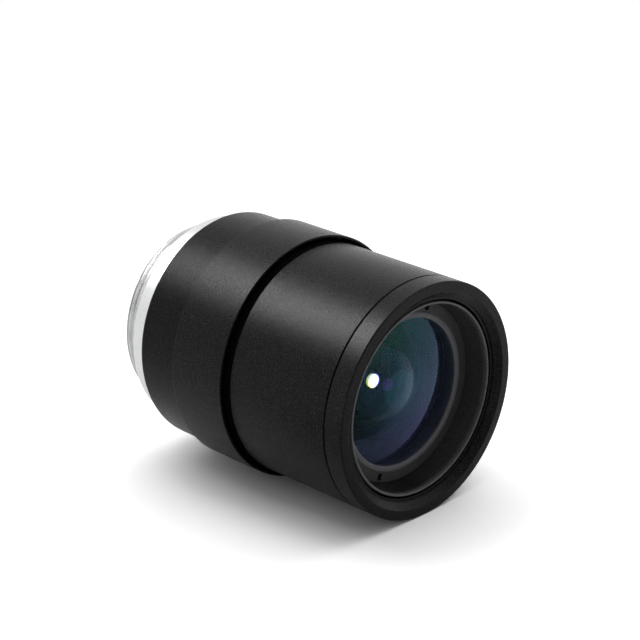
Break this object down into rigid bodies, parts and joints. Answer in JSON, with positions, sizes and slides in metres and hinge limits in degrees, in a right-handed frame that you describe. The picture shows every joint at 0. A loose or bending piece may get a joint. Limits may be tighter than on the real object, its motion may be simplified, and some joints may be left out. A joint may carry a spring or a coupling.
{
  "type": "varifocal cctv lens",
  "caption": "Small varifocal lens for a security camera, with a screw mount, a zoom ring, a focus barrel and a deep front ring round its glass.",
  "frame": {"origin": "centre of the flange seat, the face of the mount that meets the camera", "axes": "+X along the optical axis towards the front glass; +Y and +Z across it, with the zoom lock screw just below +Y"},
  "size_m": [0.043, 0.0378, 0.0326],
  "materials": {
    "silver_anodised": "turned aluminium, clear anodised, satin",
    "black_anodised": "bead blasted and black anodised, fine matt grain",
    "dull_black": "blackened against reflections, dull",
    "lock_black": "knurled and blackened",
    "brass": "turned, bare",
    "steel": "bright turned",
    "optical_glass": "polished, coated",
    "coated_glass": "polished, with a green to violet coating"
  },
  "bodies": {
    "fixed": {"mount_ring": "silver_anodised", "rear_housing": "black_anodised", "mount_screw_1": "steel", "mount_screw_2": "steel", "mount_screw_3": "steel", "main_tube": "brass", "cam_clip": "steel"},
    "zoom_ring": {"zoom_ring": "black_anodised", "cam_tube": "brass"},
    "zoom_lock": {"zoom_lock_screw": "lock_black"},
    "rear_group": {"rear_cell": "black_anodised", "follower_pin_1": "steel", "follower_pin_2": "steel", "follower_pin_3": "steel", "rear_lens_1": "optical_glass", "rear_lens_2": "optical_glass", "rear_lens_3": "optical_glass", "rear_lens_4": "optical_glass", "rear_spacer_1": "dull_black", "rear_spacer_2": "dull_black", "aperture_stop": "dull_black", "rear_retainer": "dull_black"},
    "front_group": {"front_cell": "black_anodised", "front_retainer": "black_anodised", "front_lens_1": "coated_glass", "front_lens_2": "optical_glass", "front_lens_3": "optical_glass", "front_spacer": "dull_black", "inner_retainer": "dull_black", "guide_key": "steel"},
    "focus_barrel": {"focus_barrel": "black_anodised", "front_ring": "black_anodised"},
    "focus_lock": {"focus_lock_screw": "lock_black"}
  },
  "joints": [
    {"name": "zoom_turn", "type": "hinge", "parent": "fixed", "child": "zoom_ring", "pos_m": [0.0139, 0, 0], "axis": [1, 0, 0], "range_deg": [0, 80]},
    {"name": "rear_group_travel", "type": "slide", "parent": "fixed", "child": "rear_group", "axis": [1, 0, 0], "range_m": [0, 0.006]},
    {"name": "zoom_lock_turn", "type": "hinge", "parent": "zoom_ring", "child": "zoom_lock", "pos_m": [0.0139, 0, 0], "axis": [0, 0.9962, -0.0872], "range_deg": [-180, 0]},
    {"name": "front_group_travel", "type": "slide", "parent": "fixed", "child": "front_group", "axis": [1, 0, 0], "range_m": [-0.0015, 0.0015]},
    {"name": "focus_turn", "type": "hinge", "parent": "front_group", "child": "focus_barrel", "pos_m": [0.02465, 0, 0], "axis": [1, 0, 0], "range_deg": [-60, 60]},
    {"name": "focus_lock_turn", "type": "hinge", "parent": "focus_barrel", "child": "focus_lock", "pos_m": [0.02465, 0, 0], "axis": [0, 0.766, -0.6428], "range_deg": [-180, 0]}
  ],
  "couplings": [
    {"joint": "zoom_turn", "follows": "rear_group_travel", "rad_per_m": 232.71},
    {"joint": "focus_turn", "follows": "front_group_travel", "rad_per_m": 698.13}
  ]
}
